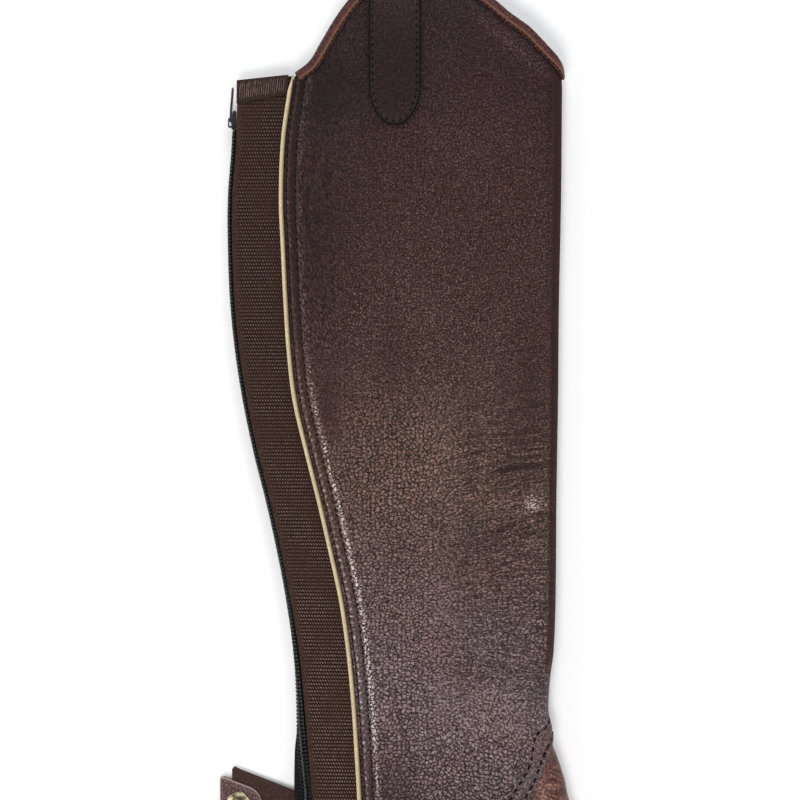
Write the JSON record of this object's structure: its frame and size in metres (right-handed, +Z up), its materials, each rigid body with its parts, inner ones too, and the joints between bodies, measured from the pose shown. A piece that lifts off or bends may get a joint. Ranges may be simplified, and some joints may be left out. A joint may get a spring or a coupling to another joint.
{
  "type": "half chap",
  "caption": "Tall leather half chap with a peaked bound top, rear elastic panel, beige piping, curved rear zip, sewn top tab and snapped hem strap, zipped up and lying flat on its side.",
  "frame": {"origin": "centre of the bounding box in X and Y, at the base: the plane that the inner side rests on", "axes": "+Y up the leg towards the peak of the top edge, +X towards the front of the leg, +Z up out of the outer side"},
  "size_m": [0.1974, 0.4853, 0.0201],
  "materials": {
    "outer_panel": "dark brown pebbled full-grain leather",
    "inner_panel": "dark brown leather, finer grain",
    "instep_piece": "smoother red-brown leather",
    "elastic_panel": "brown woven elastic webbing",
    "elastic_top_band": "brown binding tape with zigzag sewing",
    "elastic_bottom_band": "brown binding tape with zigzag sewing",
    "piping": "beige piping cord",
    "zip_tape_outer": "black woven zip tape",
    "zip_tape_inner": "black woven zip tape",
    "zip_chain": "black nylon coil",
    "zip_slider": "black painted slider",
    "zip_pull": "black painted tab",
    "zip_box": "black moulded box",
    "top_binding": "red-brown folded leather strip",
    "top_tab": "dark brown leather",
    "strap_under": "dark brown leather strap",
    "snap_tab": "dark brown leather tab",
    "snap_cap": "antique brass cap"
  },
  "bodies": {
    "half_chap": {"outer_panel": "outer_panel", "inner_panel": "inner_panel", "instep_piece": "instep_piece", "elastic_panel": "elastic_panel", "elastic_top_band": "elastic_top_band", "elastic_bottom_band": "elastic_bottom_band", "piping": "piping", "zip_tape_outer": "zip_tape_outer", "zip_tape_inner": "zip_tape_inner", "zip_chain": "zip_chain", "zip_slider": "zip_slider", "zip_box": "zip_box", "top_binding": "top_binding", "top_tab": "top_tab", "strap_under": "strap_under", "snap_tab": "snap_tab", "snap_cap": "snap_cap"},
    "pull": {"zip_pull": "zip_pull"}
  },
  "joints": [
    {"name": "pull_hinge", "type": "hinge", "parent": "half_chap", "child": "pull", "pos_m": [-0.09278, 0.1548, 0.00513], "axis": [0, 0, 1], "range_deg": [0, 170]}
  ]
}
